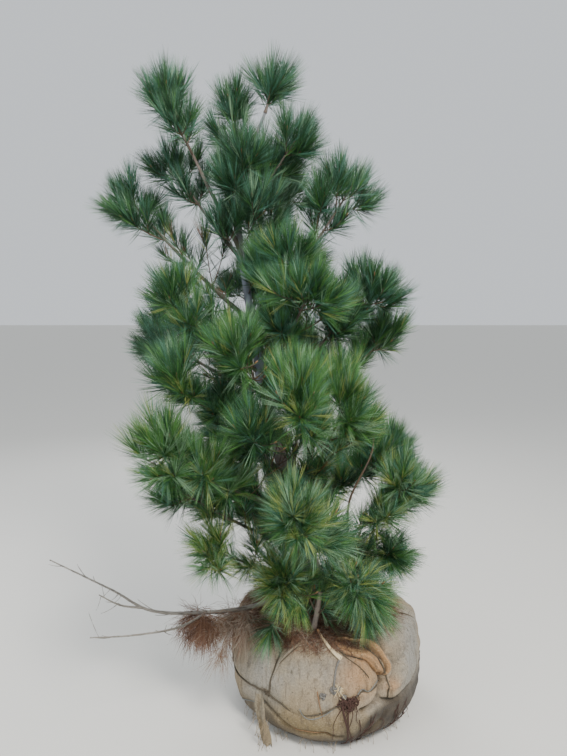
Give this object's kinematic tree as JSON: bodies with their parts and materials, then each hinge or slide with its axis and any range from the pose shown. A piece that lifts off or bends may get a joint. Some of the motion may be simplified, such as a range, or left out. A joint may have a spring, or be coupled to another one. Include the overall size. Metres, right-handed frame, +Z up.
{
  "type": "balled pine sapling",
  "caption": "Young long-needled pine, leaning, with whorls of boughs, standing on a burlap-wrapped root ball laced with twine.",
  "frame": {"origin": "middle of the flat underside of the root ball, where it stands", "axes": "+Z up, +X to the right in the front view and away from the side the trunk leans to, -Y to the viewer in front"},
  "size_m": [1.5785, 1.2396, 2.4942],
  "materials": {
    "root_ball": "coarse tan burlap, weathered, over packed soil",
    "twine": "rough grey-brown twine",
    "trunk_bark": "smooth blue-grey young bark",
    "bough_bark": "thin brown bark",
    "needles": "soft satin green needles",
    "dead_wood": "bare weathered grey wood",
    "dead_needles": "dry rust-brown needles"
  },
  "bodies": {
    "root": {"root_ball": "root_ball", "twine": "twine", "trunk": "trunk_bark", "bough_left_high": "bough_bark", "needles_left_high": "needles", "bough_left_high_back": "bough_bark", "needles_left_high_back": "needles", "bough_left_long": "bough_bark", "needles_left_long": "needles", "needles_left_mid": "needles", "bough_left_back": "bough_bark", "needles_left_back": "needles", "bough_left_front": "bough_bark", "needles_left_front": "needles", "bough_left_big": "bough_bark", "needles_left_big": "needles", "bough_left_low": "bough_bark", "needles_left_low": "needles", "needles_left_lowest": "needles", "needles_front_high": "needles", "bough_front_mid": "bough_bark", "needles_front_mid": "needles", "bough_front_center": "bough_bark", "needles_front_center": "needles", "bough_front_low": "bough_bark", "needles_front_low": "needles", "needles_front_lowest": "needles", "bough_right_front": "bough_bark", "needles_right_front": "needles", "needles_right_lowest": "needles", "needles_right_lowest_back": "needles", "bough_right_low": "bough_bark", "needles_right_low": "needles", "needles_right_low_back": "needles", "bough_right_outer": "bough_bark", "needles_right_outer": "needles", "bough_right_star": "bough_bark", "needles_right_star": "needles", "bough_right_mid": "bough_bark", "needles_right_mid": "needles", "bough_right_long": "bough_bark", "needles_right_long": "needles", "needles_right_upper": "needles", "needles_right_high": "needles", "needles_right_high_back": "needles", "needles_front_top": "needles", "needles_back_upper": "needles", "bough_back_mid": "bough_bark", "needles_back_mid": "needles", "needles_back_left": "needles", "needles_back_right": "needles", "needles_back_low": "needles", "needles_left_back_low": "needles", "needles_second_leader": "needles", "needles_leader": "needles", "needles_low_shoot": "needles", "dead_bough": "dead_wood", "dead_needles_outer": "dead_needles", "dead_needles_inner": "dead_needles"}
  },
  "joints": []
}
